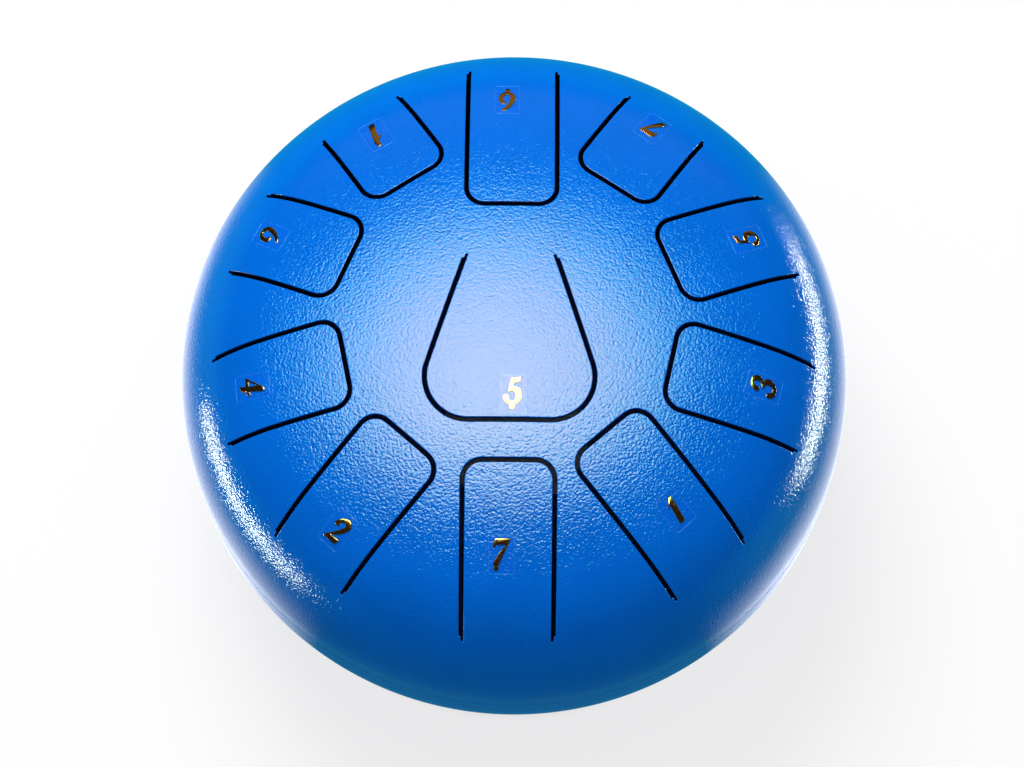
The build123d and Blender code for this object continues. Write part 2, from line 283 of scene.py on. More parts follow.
def edge_corner(slit, i, row):
    """Corner on a cut's rounded upper edge: row 0 lies on the outer skin, the last row on the cut wall."""
    if row == 0:
        return outer_corner(slit["first"] + i)
    turn = math.pi / 2 * row / EDGE_ROWS
    spot = slit["void"][i] + slit["away"][i] * EDGE_ROUND * (1 - math.sin(turn))
    height = skin_height(spot[None], 0)[0] - EDGE_ROUND * (1 - math.cos(turn))
    away = np.append(slit["away"][i] / np.linalg.norm(slit["away"][i]), 0)
    normal = outer_normal[slit["first"] + i] * math.cos(turn) - away * math.sin(turn)
    depth = WALL_TOP_SHADE if row == EDGE_ROWS else 0.0
    return (slit["first"], i, row), np.append(spot, height), depth, normal / np.linalg.norm(normal)


def foot_of_cut(slit, i):
    """Corner where a cut wall meets the inner skin, with the wall's own normal."""
    key, point, depth, _ = inner_corner(slit["first"] + i)
    return key, point, depth, edge_corner(slit, i, EDGE_ROWS)[3]


def cut_wall(piece, slit, run):
    """Rounded edge and upright wall along a run of points of a slit's outline."""
    for i, j in zip(run, run[1:]):
        for row in range(EDGE_ROWS):
            piece.face([edge_corner(slit, i, row), edge_corner(slit, j, row),
                        edge_corner(slit, j, row + 1), edge_corner(slit, i, row + 1)], 0)
        # the cut wall takes the second finish, whose dark navy is painted shade down the slit
        piece.face([edge_corner(slit, i, EDGE_ROWS), edge_corner(slit, j, EDGE_ROWS),
                    foot_of_cut(slit, j), foot_of_cut(slit, i)], 1)


def root_wall(piece, slit, side):
    """Parting face at a tongue's root: side is 1 on the tongue and -1 on the dome."""
    normal = np.append(slit["out"], 0) * side
    chain = slit["chain"]
    for k, (a, b) in enumerate(zip(chain, chain[1:])):
        corners = [outer_corner(a), outer_corner(b), inner_corner(b), inner_corner(a)]
        if k == 0:
            corners += [edge_corner(slit, slit["roots"][0], row) for row in range(EDGE_ROWS, 0, -1)]
        if k == len(chain) - 2:
            corners[2:2] = [edge_corner(slit, slit["roots"][1], row) for row in range(1, EDGE_ROWS + 1)]
        corners = [(*corner[:3], normal) for corner in corners]
        piece.face(corners if side < 0 else corners[::-1], 1)


def cover(piece, name):
    """Outer and inner skin over the cells of one piece."""
    for cell in cells[cell_piece == name]:
        piece.face([outer_corner(i) for i in cell], 0)
        piece.face([inner_corner(i) for i in cell[::-1]], 1)


def add_node(tree, kind, links=None, **settings):
    """Adds a node with its settings, and sets or links its inputs by name or number."""
    made = tree.nodes.new(kind)
    for name, value in settings.items():
        setattr(made, name, value)
    for name, value in (links or {}).items():
        if isinstance(value, bpy.types.NodeSocket):
            tree.links.new(value, made.inputs[name])
        else:
            made.inputs[name].default_value = value
    return made


def figure(tree, operation, *values):
    """Result of a sum over numbers or sockets."""
    return add_node(tree, "ShaderNodeMath", dict(enumerate(values)), operation=operation).outputs["Value"]


def ranged(tree, value, low, high, to_low=0.0, to_high=1.0):
    """A value carried from one range to another and held at its ends."""
    made = add_node(tree, "ShaderNodeMapRange", {
        "Value": value, "From Min": low, "From Max": high, "To Min": to_low, "To Max": to_high})
    return made.outputs["Result"]


def mixed(tree, share, first, second, blend="MIX"):
    """Colour made of two colours by a share."""
    links = {"Factor": share, 6: first, 7: second}
    return add_node(tree, "ShaderNodeMix", links, data_type="RGBA", blend_type=blend).outputs[2]


def bumped(tree, height, strength, distance):
    """Normal that follows a height."""
    made = add_node(tree, "ShaderNodeBump", {"Height": height, "Strength": strength, "Distance": distance})
    return made.outputs["Normal"]


def noise(tree, place, spots, detail):
    """Cloudy pattern with a number of spots to the metre."""
    return add_node(tree, "ShaderNodeTexNoise", {"Vector": place, "Scale": spots, "Detail": detail})


def vector(tree, operation, links):
    """Sum over vectors, with its inputs set by name or number."""
    return add_node(tree, "ShaderNodeVectorMath", links, operation=operation)


def feed(tree, shader, **sockets):
    """Links sockets to the shader's inputs of the same names."""
    for name, socket in sockets.items():
        tree.links.new(socket, shader.inputs[name.replace("_", " ")])


def new_material(name, **constants):
    """Principled material with its constants set; returns it with its tree, shader and coordinates."""
    made = bpy.data.materials.new(name)
    made.use_nodes = True
    shader = made.node_tree.nodes["Principled BSDF"]
    for socket, value in constants.items():
        shader.inputs[socket.replace("_", " ")].default_value = value
    place = made.node_tree.nodes.new("ShaderNodeTexCoord").outputs["Object"]
    return made, made.node_tree, shader, place


def new_tree(kind, name, **sockets):
    """Shader group or Geometry Nodes tree with named sockets; returns it with its input and output nodes."""
    made = bpy.data.node_groups.new(name, kind)
    for way, named in sockets.items():
        for label, value in named.items():
            made.interface.new_socket(label, in_out=way, socket_type="NodeSocket" + value)
    return made, made.nodes.new("NodeGroupInput"), made.nodes.new("NodeGroupOutput")


# blotch: slow, soft changes over a surface, as handling and uneven finish leave on any of these pieces
blotch, given, result = new_tree(
    "ShaderNodeTree", "blotch", OUTPUT={"Value": "Float"},
    INPUT={"Place": "Vector", "Spots per Metre": "Float", "Low": "Float", "High": "Float"})
cloud = noise(blotch, given.outputs["Place"], given.outputs["Spots per Metre"], 4.0)
level = ranged(blotch, cloud.outputs["Fac"], 0.3, 0.7, given.outputs["Low"], given.outputs["High"])
blotch.links.new(level, result.inputs["Value"])


def spotted(tree, place, spots, low=0.0, high=1.0):
    """Value of the blotch group at a place."""
    links = {"Place": place, "Spots per Metre": spots, "Low": low, "High": high}
    return add_node(tree, "ShaderNodeGroup", links, node_tree=blotch).outputs["Value"]


# orange_peel: the pebbled skin that thick powder coat sets into
orange_peel, given, result = new_tree(
    "ShaderNodeTree", "orange_peel", OUTPUT={"Height": "Float"},
    INPUT={"Place": "Vector", "Pebbles per Metre": "Float"})
warp = noise(orange_peel, given.outputs["Place"], 800.0, 1.0)
shift = vector(orange_peel, "SCALE", {0: warp.outputs["Color"], "Scale": 0.0008})
moved = vector(orange_peel, "ADD", {0: given.outputs["Place"], 1: shift.outputs["Vector"]})
pebble = add_node(orange_peel, "ShaderNodeTexVoronoi", {
    "Vector": moved.outputs["Vector"], "Scale": given.outputs["Pebbles per Metre"],
    "Smoothness": 0.6, "Randomness": 1.0}, feature="SMOOTH_F1")
swell = noise(orange_peel, given.outputs["Place"], 1000.0, 2.0)
dome = figure(orange_peel, "MULTIPLY", pebble.outputs["Distance"], pebble.outputs["Distance"])
height = figure(orange_peel, "SUBTRACT", swell.outputs["Fac"], dome)
orange_peel.links.new(height, result.inputs["Height"])

azure_coat, tree, shader, place = new_material(
    "azure_powder_coat", IOR=1.65, Specular_IOR_Level=0.48, Specular_Tint=(0.55, 1.0, 1.0, 1))
azure = mixed(tree, spotted(tree, place, 45.0), (0.0, 0.168, 0.820, 1), (0.0, 0.182, 0.885, 1))
# down a cut's rounded edge the azure turns to dark navy by the depth attribute: painted shade of the slit
cut_shade = add_node(tree, "ShaderNodeAttribute", attribute_name="depth")
pebbles = {"Place": place, "Pebbles per Metre": 1100.0}
skin = add_node(tree, "ShaderNodeGroup", pebbles, node_tree=orange_peel)
feed(tree, shader,
     Base_Color=mixed(tree, cut_shade.outputs["Fac"], azure, (0.0, 0.018, 0.105, 1)),
     Roughness=spotted(tree, place, 130.0, 0.05, 0.08),
     Normal=bumped(tree, skin.outputs["Height"], 0.5, 0.0002))

# The inside's own thin dark coat; on the cut walls its dark navy is painted shade down the slits.
inside_coat_and_wall_shade, tree, shader, place = new_material("inside_coat_and_painted_wall_shade", IOR=1.5, Specular_IOR_Level=0.15)
feed(tree, shader,
     Base_Color=mixed(tree, spotted(tree, place, 60.0), (0.0, 0.022, 0.15, 1), (0.002, 0.036, 0.22, 1)),
     Roughness=spotted(tree, place, 300.0, 0.5, 0.7))

SEAM_BEVEL_OUT, SEAM_BEVEL_IN = 0.0014, 0.0005
SHOULDER_STEPS, WALL_STEPS = 12, 3


def section(inset, start_r, end_z):
    """Half section of the skin, set in from the outside, from a radius on the shoulder down to a height on
    the wall: points (r, z) with their normals (r, z)."""
    bend = SHOULDER - inset
    arc = np.linspace(math.asin((start_r - SHOULDER_R) / bend), math.pi / 2, SHOULDER_STEPS + 1)
    normals = [(math.sin(a), math.cos(a)) for a in arc]
    points = [(SHOULDER_R + bend * r, SEAM_Z + WALL + bend * z) for r, z in normals]
    for k in range(1, WALL_STEPS + 1):
        points.append((RADIUS - inset, SEAM_Z + WALL + (end_z - SEAM_Z - WALL) * k / WALL_STEPS))
        normals.append((1, 0))
    return points, normals


def collar(piece):
    """Shoulder and wall of the dome, outside and inside, with the bevelled rim between them."""
    skins = section(0, PLAN_RIM, SEAM_Z + SEAM_BEVEL_OUT), section(SHEET, PLAN_RIM, SEAM_Z + SEAM_BEVEL_IN)
    last = SHOULDER_STEPS + WALL_STEPS
    drop = SEAM_BEVEL_OUT - SEAM_BEVEL_IN
    slope = np.array([-drop, -SHEET]) / math.hypot(SHEET, drop)

    def corner(inner, k, j):
        points, normals = skins[inner]
        j %= RIM_STEPS
        x, y = math.cos(rim_turns[j]), math.sin(rim_turns[j])
        normal = np.array([x * normals[k][0], y * normals[k][0], normals[k][1]]) * (-1 if inner else 1)
        if k == 0:
            known = inner_corner(rim_first + j) if inner else outer_corner(rim_first + j)
            return (*known[:3], normal)
        point = (x * points[k][0], y * points[k][0], points[k][1])
        return ("collar", inner, k, j), point, float(inner), normal

    for j in range(RIM_STEPS):
        for k in range(last):
            around = ((k, j), (k + 1, j), (k + 1, j + 1), (k, j + 1))
            piece.face([corner(0, *spot) for spot in around], 0)
            piece.face([corner(1, *spot) for spot in around[::-1]], 1)
        rim = [corner(0, last, j), corner(1, last, j), corner(1, last, j + 1), corner(0, last, j + 1)]
        middle = rim_turns[j] + math.pi / RIM_STEPS
        flat = np.array([slope[0] * math.cos(middle), slope[0] * math.sin(middle), slope[1]])
        piece.face([(*c[:3], flat) for c in rim], 1)


def place_piece(name, mesh):
    made = bpy.data.objects.new(name, mesh)
    bpy.context.collection.objects.link(made)
    return made


dome = SheetPiece()
cover(dome, "top_shell")
for slit in slits.values():
    count = len(slit["void"])
    start, stop = slit["roots"]
    cut_wall(dome, slit, [i % count for i in range(stop, start + count + 1)])
    root_wall(dome, slit, -1)
collar(dome)
top_shell = place_piece("top_shell_pressing", dome.mesh("top_shell_pressing", [azure_coat, inside_coat_and_wall_shade]))
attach(top_shell, "shell")
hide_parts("top_shell")

for name, slit in slits.items():
    strip = SheetPiece()
    cover(strip, name)
    start, stop = slit["roots"]
    cut_wall(strip, slit, list(range(start, stop + 1)))
    root_wall(strip, slit, 1)
    tongue = place_piece("steel_tongue_" + name, strip.mesh("steel_tongue_" + name, [azure_coat, inside_coat_and_wall_shade]))
    root = plan[slit["chain"]].mean(0)
    root = Vector((*root, skin_height(root[None], 0)[0]))
    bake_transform(tongue)
    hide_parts("tongue_" + name)


# Bottom shell
# The same pressing turned over, without tongues: coated outside, thinly inside, with a round sound hole in
# its middle whose cut edge the coat rounds. It is turned here from its half section.
HOLE_RADIUS, LIP, LIP_STEPS = 0.029, 0.0006, 4
AROUND, HOLE_TO_TURN, SPIN_RADIUS = 256, 24, 0.05
SHELL_SHARP = math.radians(35)


def run_tree(tree, name, mesh, values):
    """Plain mesh object that a tree makes from a starting mesh, with its inputs set by name."""
    start = place_piece(name + "_start", mesh)
    modifier = start.modifiers.new(tree.name, "NODES")
    modifier.node_group = tree
    for socket in tree.interface.items_tree:
        if socket.in_out == "INPUT" and socket.name in values:
            modifier[socket.identifier] = values[socket.name]
    view = bpy.context.evaluated_depsgraph_get()
    made = bpy.data.meshes.new_from_object(
        start.evaluated_get(view), preserve_all_data_layers=True, depsgraph=view)
    start.modifiers.remove(modifier)
    bpy.data.objects.remove(start)
    made.name = name
    return place_piece(name, made)


turned, given, result = new_tree("GeometryNodeTree", "turned", OUTPUT={"Geometry": "Geometry"}, INPUT={
    "Geometry": "Geometry", "Steps Around": "Int", "Spin Radius": "Float", "Ripple": "Float",
    "Outside Finish": "Material", "Inside Finish": "Material"})
circle = add_node(turned, "GeometryNodeCurvePrimitiveCircle", {
    "Resolution": given.outputs["Steps Around"], "Radius": given.outputs["Spin Radius"]})
half = add_node(turned, "GeometryNodeMeshToCurve", {"Mesh": given.outputs["Geometry"]})
swept = add_node(turned, "GeometryNodeCurveToMesh", {
    "Curve": circle.outputs["Curve"], "Profile Curve": half.outputs["Curve"]})
facing = add_node(turned, "GeometryNodeInputNormal")
waves = add_node(turned, "ShaderNodeTexNoise", {"Scale": 420.0, "Detail": 1.0})
centred = figure(turned, "SUBTRACT", waves.outputs["Fac"], 0.5)
swing = figure(turned, "MULTIPLY", centred, given.outputs["Ripple"])
lift = vector(turned, "SCALE", {0: facing.outputs["Normal"], "Scale": swing})
rippled = add_node(turned, "GeometryNodeSetPosition", {
    "Geometry": swept.outputs["Mesh"], "Offset": lift.outputs["Vector"]})
smooth = add_node(turned, "GeometryNodeSetShadeSmooth", {"Geometry": rippled.outputs["Geometry"]})
whole = add_node(turned, "GeometryNodeRealizeInstances", {"Geometry": smooth.outputs["Geometry"]})
outside = add_node(turned, "GeometryNodeSetMaterial", {
    "Geometry": whole.outputs["Geometry"], "Material": given.outputs["Outside Finish"]})
side = add_node(turned, "GeometryNodeInputNamedAttribute", {"Name": "inner_side"})
within = add_node(
    turned, "FunctionNodeCompare", {0: side.outputs["Attribute"], 1: 0.6}, operation="GREATER_THAN")
both_sides = add_node(turned, "GeometryNodeSetMaterial", {
    "Geometry": outside.outputs["Geometry"], "Selection": within.outputs["Result"],
    "Material": given.outputs["Inside Finish"]})
turned.links.new(both_sides.outputs["Geometry"], result.inputs["Geometry"])


def half_section(name, points, inner):
    """Closed outline (r, z) of a turned piece as a mesh, laid out for turning, its inner side marked."""
    made = bpy.data.meshes.new(name)
    count = len(points)
    laid = [(r - SPIN_RADIUS, -z, 0) for r, z in points[::-1]]
    made.from_pydata(laid, [(i, (i + 1) % count) for i in range(count)], [])
    made.attributes.new("inner_side", "FLOAT", "POINT").data.foreach_set("value", inner[::-1])
    return made


def lower_section(inset, first_r, end_z):
    """Half section of the turned-over pressing from near its middle to the seam, (r, z)."""
    turn_r = (CROWN - inset) * math.sin(TURN)
    crown = [(r, 2 * SEAM_Z - CROWN_Z - math.sqrt((CROWN - inset) ** 2 - r**2))
             for r in np.linspace(first_r, turn_r, HOLE_TO_TURN)]
    points, _ = section(inset, turn_r + 1e-6, end_z)
    return crown + [(r, 2 * SEAM_Z - z) for r, z in points[1:]]


skin_line = lower_section(0, HOLE_RADIUS + LIP, SEAM_Z + SEAM_BEVEL_OUT)
inner_line = lower_section(SHEET, HOLE_RADIUS + LIP, SEAM_Z + SEAM_BEVEL_IN)
lip = []
for (r, z), way in ((skin_line[0], 1), (inner_line[0], -1)):
    lip.append([(r - LIP * math.sin(t), z + way * LIP * (1 - math.cos(t)))
                for t in np.linspace(0, math.pi / 2, LIP_STEPS + 1)[1:]])
outline = skin_line + inner_line[::-1] + lip[1] + lip[0][::-1]
marks = [0.0] * len(skin_line) + [1.0] * len(inner_line) + [0.0] * 2 * LIP_STEPS
bottom_line = half_section("bottom_half_section", outline, marks)
bottom_shell = run_tree(turned, "bottom_shell_pressing", bottom_line, {
    "Steps Around": AROUND, "Spin Radius": SPIN_RADIUS, "Ripple": 0.0,
    "Outside Finish": azure_coat, "Inside Finish": inside_coat_and_wall_shade})
bottom_shell.data.set_sharp_from_angle(angle=SHELL_SHARP)
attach(bottom_shell, "shell")
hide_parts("bottom_shell")


# Seam weld
# The two pressings are welded rim to rim; the bead is dressed almost flush, coated over with the shells,
# and left rough inside.
CREST, BEAD_HALF, BEAD_POINTS, BEAD_RIPPLE = 0.0001, 0.0016, 9, 0.00012
WITHIN_HALF, WITHIN_CREST, WITHIN_FLAT = 0.002, 0.0006, 0.0006
weld_outside = [(RADIUS + CREST * (1 - (h / BEAD_HALF) ** 2), SEAM_Z + h)
                for h in np.linspace(-BEAD_HALF, BEAD_HALF, BEAD_POINTS)]
weld_inside = [(RADIUS - SHEET - crest, SEAM_Z + h) for crest, h in (
    (0, WITHIN_HALF), (WITHIN_CREST, WITHIN_FLAT), (WITHIN_CREST, -WITHIN_FLAT), (0, -WITHIN_HALF))]
marks = [0.0] * BEAD_POINTS + [1.0] * len(weld_inside)
weld_line = half_section("weld_half_section", weld_outside + weld_inside, marks)
seam_weld = run_tree(turned, "dressed_seam_weld", weld_line, {
    "Steps Around": 3 * AROUND, "Spin Radius": SPIN_RADIUS, "Ripple": BEAD_RIPPLE,
    "Outside Finish": azure_coat, "Inside Finish": inside_coat_and_wall_shade})
seam_weld.data.set_sharp_from_angle(angle=SHELL_SHARP)
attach(seam_weld, "shell")
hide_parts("seam_weld")


# Feet
# Four moulded black rubber cones under the bottom shell, square to its curve and cut level where they stand.
# Each has a moulded groove round it and a recess that takes the head of its screw.
FOOT_RING, FOOT_TOP, FOOT_TAPER, FOOT_WEB, FOOT_EDGE = 0.060, 0.01185, 0.15, 0.005, 0.0008
FOOT_SUNK, FOOT_STEPS, EDGE_POINTS = 0.0008, 72, 5
RECESS, RECESS_MIDDLE, GROOVE = 0.00465, 0.001, 0.0004
# down the foot, in shares of its length, with the share of the groove's depth
GROOVE_LINE = ((0.4, 0), (0.44, 0.6), (0.47, 1), (0.53, 1), (0.56, 0.6), (0.6, 0))
# out from the recess's wall and up from the floor
RECESS_RIM = ((0.0006, 0), (0.0002, 0), (0, 0.0003))
FEET, FIRST_FOOT, FOOT_SHARP = 4, math.radians(-31), math.radians(40)
tilt = math.asin(FOOT_RING / CROWN)
foot_seat = np.array([FOOT_RING, 0, 2 * SEAM_Z - CROWN_Z - math.sqrt(CROWN**2 - FOOT_RING**2)])
foot_axis = np.array([math.sin(tilt), 0, -math.cos(tilt)])
foot_across = np.cross(foot_axis, (0, 1, 0))


def foot_line(turn):
    """Section of the foot on one side of its axis, from the shell to the floor and up into the recess."""
    way = np.array([0, math.cos(turn), 0]) + foot_across * math.sin(turn)
    length = (foot_seat[2] + way[2] * FOOT_TOP) / (-foot_axis[2] + FOOT_TAPER * way[2])
    side = [(-FOOT_SUNK, 0), (0, 0)] + [(share * length, cut) for share, cut in GROOVE_LINE]
    line = [(FOOT_TOP - FOOT_TAPER * z - GROOVE * cut, z) for z, cut in side]
    base = FOOT_TOP - FOOT_TAPER * length
    line += [(base - FOOT_EDGE * (1 - math.cos(t)), length - FOOT_EDGE * (1 - math.sin(t)))
             for t in np.linspace(0, math.pi / 2, EDGE_POINTS)]
    line += [(RECESS + out, (foot_seat[2] + way[2] * (RECESS + out)) / -foot_axis[2] - up)
             for out, up in RECESS_RIM]
    line += [(RECESS, FOOT_WEB), (RECESS_MIDDLE, FOOT_WEB)]
    points = [foot_seat + way * r + foot_axis * z for r, z in line]
    return [(p[0], p[1], max(p[2], 0.0)) for p in points]


foot_lines = [foot_line(t) for t in np.linspace(0, 2 * math.pi, FOOT_STEPS, endpoint=False)]
rows = len(foot_lines[0])
foot_faces = [[a * rows + k, b * rows + k, b * rows + k + 1, a * rows + k + 1]
              for a, b in ((i, (i + 1) % FOOT_STEPS) for i in range(FOOT_STEPS)) for k in range(rows - 1)]
foot_faces.append([i * rows for i in reversed(range(FOOT_STEPS))])
foot_faces.append([i * rows + rows - 1 for i in range(FOOT_STEPS)])
one_foot = bpy.data.meshes.new("one_foot")
one_foot.from_pydata([p for line in foot_lines for p in line], [], foot_faces, shade_flat=False)

round_axis, given, result = new_tree(
    "GeometryNodeTree", "round_the_axis", OUTPUT={"Geometry": "Geometry"},
    INPUT={"Geometry": "Geometry", "Copies": "Int", "First Angle": "Float", "Finish": "Material"})
spots = add_node(round_axis, "GeometryNodePoints", {"Count": given.outputs["Copies"]})
number = add_node(round_axis, "GeometryNodeInputIndex")
step = figure(round_axis, "DIVIDE", 2 * math.pi, given.outputs["Copies"])
angle = figure(round_axis, "MULTIPLY_ADD", number.outputs["Index"], step, given.outputs["First Angle"])
spin = add_node(round_axis, "ShaderNodeCombineXYZ", {"Z": angle})
copies = add_node(round_axis, "GeometryNodeInstanceOnPoints", {
    "Points": spots.outputs["Geometry"], "Instance": given.outputs["Geometry"],
    "Rotation": spin.outputs["Vector"]})
whole = add_node(round_axis, "GeometryNodeRealizeInstances", {"Geometry": copies.outputs["Instances"]})
finished = add_node(round_axis, "GeometryNodeSetMaterial", {
    "Geometry": whole.outputs["Geometry"], "Material": given.outputs["Finish"]})
round_axis.links.new(finished.outputs["Geometry"], result.inputs["Geometry"])

black_rubber, tree, shader, place = new_material("moulded_black_rubber", IOR=1.52)
feed(tree, shader,
     Base_Color=mixed(tree, spotted(tree, place, 180.0), (0.012, 0.012, 0.013, 1), (0.022, 0.021, 0.021, 1)),
     Roughness=spotted(tree, place, 400.0, 0.5, 0.72),
     Normal=bumped(tree, noise(tree, place, 2600.0, 2.0).outputs["Fac"], 0.25, 0.0001))

feet = run_tree(round_axis, "rubber_feet", one_foot, {
    "Copies": FEET, "First Angle": FIRST_FOOT, "Finish": black_rubber})
feet.data.set_sharp_from_angle(angle=FOOT_SHARP)
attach(feet, "shell")
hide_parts("foot_front_right", "foot_rear_right", "foot_rear_left", "foot_front_left")


# Foot screws, washers and nuts
# Zinc-plated steel: a pan-head screw with a cross drive through each foot and the shell, a washer under its
# head, and a washer and hexagon nut inside the drum. They keep their engineered solids.
zinc, tree, shader, place = new_material("zinc_plated_steel", Metallic=1.0)
feed(tree, shader,
     Base_Color=mixed(tree, spotted(tree, place, 500.0), (0.46, 0.47, 0.49, 1), (0.62, 0.62, 0.61, 1)),
     Roughness=spotted(tree, place, 900.0, 0.22, 0.38))
for name in ("foot_screws", "foot_washers", "nut_washers", "foot_nuts"):
    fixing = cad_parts[name]
    fixing.data.materials.clear()
    fixing.data.materials.append(zinc)


# Label films
# A clear self-adhesive film under each digit, cut to a rounded rectangle and pressed on by hand: it is
# smoother than the coat, its edges lift a little here and there, most at its top and bottom, and a few small
# bubbles stay under it. Where the edges lift and over the bubbles the film is painted pale cyan and less
# clear:
# a painted sheen of the light caught by the air beneath.
FILM_HALF_X, FILM_HALF_Y, FILM_CORNER, FILM = 0.0048, 0.00725, 0.0008, 0.0001
FILM_STEPS, FILM_SUNK, FILM_SHARP, LAYING_PASSES = 4, 0.00005, math.radians(50), 6
# where each label sits: outward from the pattern's middle, sideways, and its turn in degrees
LABELS = {
    "low_6": (0.0941, -0.0022, 0.0), "7": (0.0993, -0.0014, -4.0), "5": (0.0964, -0.0008, 0.5),
    "3": (0.0956, -0.0013, -3.0), "1": (0.0901, -0.0022, 2.0), "low_7": (0.0843, 0.0023, 0.0),
    "2": (0.0968, -0.0019, -1.0), "4": (0.0972, 0.0004, -7.0), "6": (0.0986, 0.0004, -5.5),
    "high_1": (0.0948, 0.0002, -4.0), "low_5": (-0.0274, 0.0013, 180.0),
}


def label_frame(name):
    """Middle of a label on the skin, and its right, top and outward directions; ring labels top inward."""
    reach, shift, turn = LABELS[name]
    out = slits[name]["out"]
    spot = np.array([PATTERN_X, 0]) + out * reach + np.array([out[1], -out[0]]) * shift
    normal = skin_normal(spot[None], 0)[0]
    right = np.cross(normal, [*out, 0])
    right /= np.linalg.norm(right)
    top = np.cross(normal, right)
    c, s = math.cos(math.radians(turn)), math.sin(math.radians(turn))
    return np.array([*spot, skin_height(spot[None], 0)[0]]), right * c + top * s, top * c - right * s, normal


def lay_on_skin(name, flat, lift):
    """Points drawn flat on a label, carried square to it onto the skin and lifted off it."""
    middle, right, top, normal = label_frame(name)
    points = middle + flat[:, :1] * right + flat[:, 1:2] * top
    for _ in range(LAYING_PASSES):
        points -= np.outer((points[:, 2] - skin_height(points[:, :2], 0)) * normal[2], normal)
    return points + skin_normal(points[:, :2], 0) * np.reshape(lift, (-1, 1))


def film_mesh(name):
    """Film as nested rounded outlines: from its middle out over the top, and back to it underneath."""
    shares = (0.25, 0.5, 0.75, 0.92, 1.0)
    rings = []
    for share in shares:
        hx, hy, corner = FILM_HALF_X * share, FILM_HALF_Y * share, FILM_CORNER * share
        turns = [(x * (hx - corner) + corner * math.cos(t), y * (hy - corner) + corner * math.sin(t))
                 for x, y, first in ((1, 1, 0), (-1, 1, 90), (-1, -1, 180), (1, -1, 270))
                 for t in np.radians(first + np.linspace(0, 90, FILM_STEPS))]
        ring = []
        for k, (a, b) in enumerate(zip(turns, turns[1:] + turns[:1])):
            steps = 2 * FILM_STEPS if k % FILM_STEPS == FILM_STEPS - 1 else 1
            ring += [(a[0] + (b[0] - a[0]) * j / steps, a[1] + (b[1] - a[1]) * j / steps)
                     for j in range(steps)]
        rings.append(ring)
    rings += rings[::-1]
    count, layers = len(rings[0]), len(rings)
    flat = np.array([(0, 0)] + [p for ring in rings for p in ring] + [(0, 0)])
    lift = np.repeat([FILM, -FILM_SUNK], 1 + count * len(shares))
    end = len(flat) - 1
    faces = [(0, 1 + i, 1 + (i + 1) % count) for i in range(count)]
    faces += [(end, end - count + (i + 1) % count, end - count + i) for i in range(count)]
    for k in range(layers - 1):
        for i in range(count):
            a, b = 1 + k * count + i, 1 + k * count + (i + 1) % count
            faces.append((a, a + count, b + count, b))
    made = bpy.data.meshes.new("label_film_" + name)
    made.from_pydata(lay_on_skin(name, flat, lift), [], faces, shade_flat=False)
    spread = made.uv_layers.new(name="label")
    corners = np.array([loop.vertex_index for loop in made.loops])
    spread.data.foreach_set("uv", (flat[corners] / [2 * FILM_HALF_X, 2 * FILM_HALF_Y] + 0.5).ravel())
    made.set_sharp_from_angle(angle=FILM_SHARP)
    return made


clear_film, tree, shader, place = new_material(
    "clear_label_film", IOR=2.0, Specular_Tint=(0.55, 1.0, 1.0, 1))
label_uv = add_node(tree, "ShaderNodeUVMap", uv_map="label")
split = add_node(tree, "ShaderNodeSeparateXYZ", {"Vector": label_uv.outputs["UV"]})
edges = []
EDGE_SOFT = 0.02
for side, start, weight in (("X", 0.462, 0.45), ("Y", 0.472, 1.0)):
    off_middle = figure(tree, "SUBTRACT", split.outputs[side], 0.5)
    to_edge = figure(tree, "ABSOLUTE", off_middle)
    edges.append(ranged(tree, to_edge, start, start + EDGE_SOFT, 0.0, weight))
lifted = figure(tree, "MAXIMUM", *edges)
broken = figure(tree, "MULTIPLY", lifted, spotted(tree, place, 700.0, 0.25, 1.0))
bubble = add_node(tree, "ShaderNodeTexVoronoi", {"Vector": place, "Scale": 420.0, "Randomness": 1.0})
trapped = ranged(tree, bubble.outputs["Distance"], 0.1, 0.05, 0.0, 0.5)
lift_and_bubble_sheen = figure(tree, "MAXIMUM", broken, trapped)
# lifted edges and bubbles turn pale cyan and less clear: painted sheen, not a colour of the film
feed(tree, shader,
     Base_Color=mixed(tree, lift_and_bubble_sheen, (0.0, 0.19, 0.85, 1), (0.14, 0.66, 1.0, 1)),
     Alpha=ranged(tree, lift_and_bubble_sheen, 0.0, 1.0, 0.3, 0.8),
     Roughness=spotted(tree, place, 500.0, 0.06, 0.16),
     Normal=bumped(tree, noise(tree, place, 900.0, 2.0).outputs["Fac"], 0.25, 0.0003))

for name in LABELS:
    film = place_piece("label_film_" + name, film_mesh(name))
    film.data.materials.append(clear_film)
    film.visible_shadow = False
    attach(film, "tongue_" + name)
    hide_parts("film_" + name)


